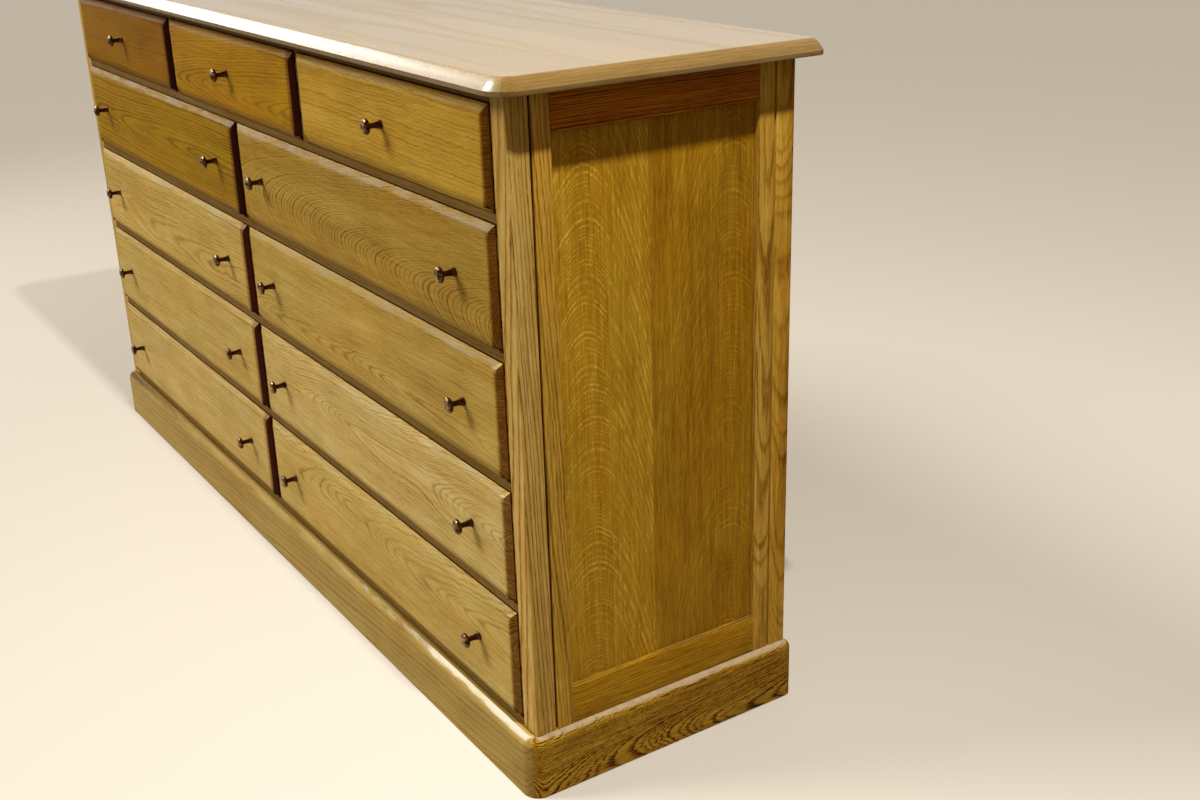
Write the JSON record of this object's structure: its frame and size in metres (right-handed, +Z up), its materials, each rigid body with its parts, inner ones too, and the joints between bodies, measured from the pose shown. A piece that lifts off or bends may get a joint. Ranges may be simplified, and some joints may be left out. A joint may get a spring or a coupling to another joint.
{
  "type": "chest of drawers",
  "caption": "A wide, low oak chest of drawers with small drawers over wide ones, round knobs, framed panel sides, a moulded top with rounded corners and a moulded plinth",
  "frame": {"origin": "on the floor, under the middle of the whole chest with its drawers shut", "axes": "+X to the right seen from the front, along the width; +Y from the drawer fronts to the back; +Z up"},
  "size_m": [1.872, 0.5056, 0.9855],
  "materials": {
    "oak_top": "oiled golden oak, satin, staves glued along the width",
    "oak_front": "oiled golden oak, satin, grain level",
    "oak_post": "oiled golden oak, satin, grain upright",
    "oak_side_frame": "oiled golden oak, satin",
    "oak_side_panel": "oiled golden oak, satin, grain upright with flecks",
    "oak_plinth": "oiled golden oak, satin, strong level grain",
    "oak_frame": "oiled oak, satin",
    "drawer_wood": "bare pale wood",
    "back_wood": "plain boards, matt",
    "bronze": "dark aged bronze, satin"
  },
  "bodies": {
    "carcass": {"back_left_post": "oak_post", "back_panel": "back_wood", "back_right_post": "oak_post", "bottom_frame": "oak_frame", "centre_partition": "oak_frame", "front_left_post": "oak_post", "front_right_post": "oak_post", "left_side_frame": "oak_side_frame", "left_side_panel": "oak_side_panel", "plinth": "oak_plinth", "plinth_ledger": "oak_frame", "right_side_frame": "oak_side_frame", "right_side_panel": "oak_side_panel", "row_frame_1": "oak_frame", "row_frame_2": "oak_frame", "row_frame_3": "oak_frame", "row_frame_4": "oak_frame", "top_board": "oak_top", "top_frame": "oak_frame"},
    "row_1_left_drawer": {"row_1_left_drawer_box": "drawer_wood", "row_1_left_drawer_front": "oak_front", "row_1_left_drawer_knob": "bronze"},
    "row_1_middle_drawer": {"row_1_middle_drawer_box": "drawer_wood", "row_1_middle_drawer_front": "oak_front", "row_1_middle_drawer_knob": "bronze"},
    "row_1_right_drawer": {"row_1_right_drawer_box": "drawer_wood", "row_1_right_drawer_front": "oak_front", "row_1_right_drawer_knob": "bronze"},
    "row_2_left_drawer": {"row_2_left_drawer_box": "drawer_wood", "row_2_left_drawer_front": "oak_front", "row_2_left_drawer_left_knob": "bronze", "row_2_left_drawer_right_knob": "bronze"},
    "row_2_right_drawer": {"row_2_right_drawer_box": "drawer_wood", "row_2_right_drawer_front": "oak_front", "row_2_right_drawer_left_knob": "bronze", "row_2_right_drawer_right_knob": "bronze"},
    "row_3_left_drawer": {"row_3_left_drawer_box": "drawer_wood", "row_3_left_drawer_front": "oak_front", "row_3_left_drawer_left_knob": "bronze", "row_3_left_drawer_right_knob": "bronze"},
    "row_3_right_drawer": {"row_3_right_drawer_box": "drawer_wood", "row_3_right_drawer_front": "oak_front", "row_3_right_drawer_left_knob": "bronze", "row_3_right_drawer_right_knob": "bronze"},
    "row_4_left_drawer": {"row_4_left_drawer_box": "drawer_wood", "row_4_left_drawer_front": "oak_front", "row_4_left_drawer_left_knob": "bronze", "row_4_left_drawer_right_knob": "bronze"},
    "row_4_right_drawer": {"row_4_right_drawer_box": "drawer_wood", "row_4_right_drawer_front": "oak_front", "row_4_right_drawer_left_knob": "bronze", "row_4_right_drawer_right_knob": "bronze"},
    "row_5_left_drawer": {"row_5_left_drawer_box": "drawer_wood", "row_5_left_drawer_front": "oak_front", "row_5_left_drawer_left_knob": "bronze", "row_5_left_drawer_right_knob": "bronze"},
    "row_5_right_drawer": {"row_5_right_drawer_box": "drawer_wood", "row_5_right_drawer_front": "oak_front", "row_5_right_drawer_left_knob": "bronze", "row_5_right_drawer_right_knob": "bronze"}
  },
  "joints": [
    {"name": "row_1_left_drawer_slide", "type": "slide", "parent": "carcass", "child": "row_1_left_drawer", "axis": [0, -1, 0], "range_m": [0, 0.32]},
    {"name": "row_1_middle_drawer_slide", "type": "slide", "parent": "carcass", "child": "row_1_middle_drawer", "axis": [0, -1, 0], "range_m": [0, 0.32]},
    {"name": "row_1_right_drawer_slide", "type": "slide", "parent": "carcass", "child": "row_1_right_drawer", "axis": [0, -1, 0], "range_m": [0, 0.32]},
    {"name": "row_2_left_drawer_slide", "type": "slide", "parent": "carcass", "child": "row_2_left_drawer", "axis": [0, -1, 0], "range_m": [0, 0.32]},
    {"name": "row_2_right_drawer_slide", "type": "slide", "parent": "carcass", "child": "row_2_right_drawer", "axis": [0, -1, 0], "range_m": [0, 0.32]},
    {"name": "row_3_left_drawer_slide", "type": "slide", "parent": "carcass", "child": "row_3_left_drawer", "axis": [0, -1, 0], "range_m": [0, 0.32]},
    {"name": "row_3_right_drawer_slide", "type": "slide", "parent": "carcass", "child": "row_3_right_drawer", "axis": [0, -1, 0], "range_m": [0, 0.32]},
    {"name": "row_4_left_drawer_slide", "type": "slide", "parent": "carcass", "child": "row_4_left_drawer", "axis": [0, -1, 0], "range_m": [0, 0.32]},
    {"name": "row_4_right_drawer_slide", "type": "slide", "parent": "carcass", "child": "row_4_right_drawer", "axis": [0, -1, 0], "range_m": [0, 0.32]},
    {"name": "row_5_left_drawer_slide", "type": "slide", "parent": "carcass", "child": "row_5_left_drawer", "axis": [0, -1, 0], "range_m": [0, 0.32]},
    {"name": "row_5_right_drawer_slide", "type": "slide", "parent": "carcass", "child": "row_5_right_drawer", "axis": [0, -1, 0], "range_m": [0, 0.32]}
  ]
}
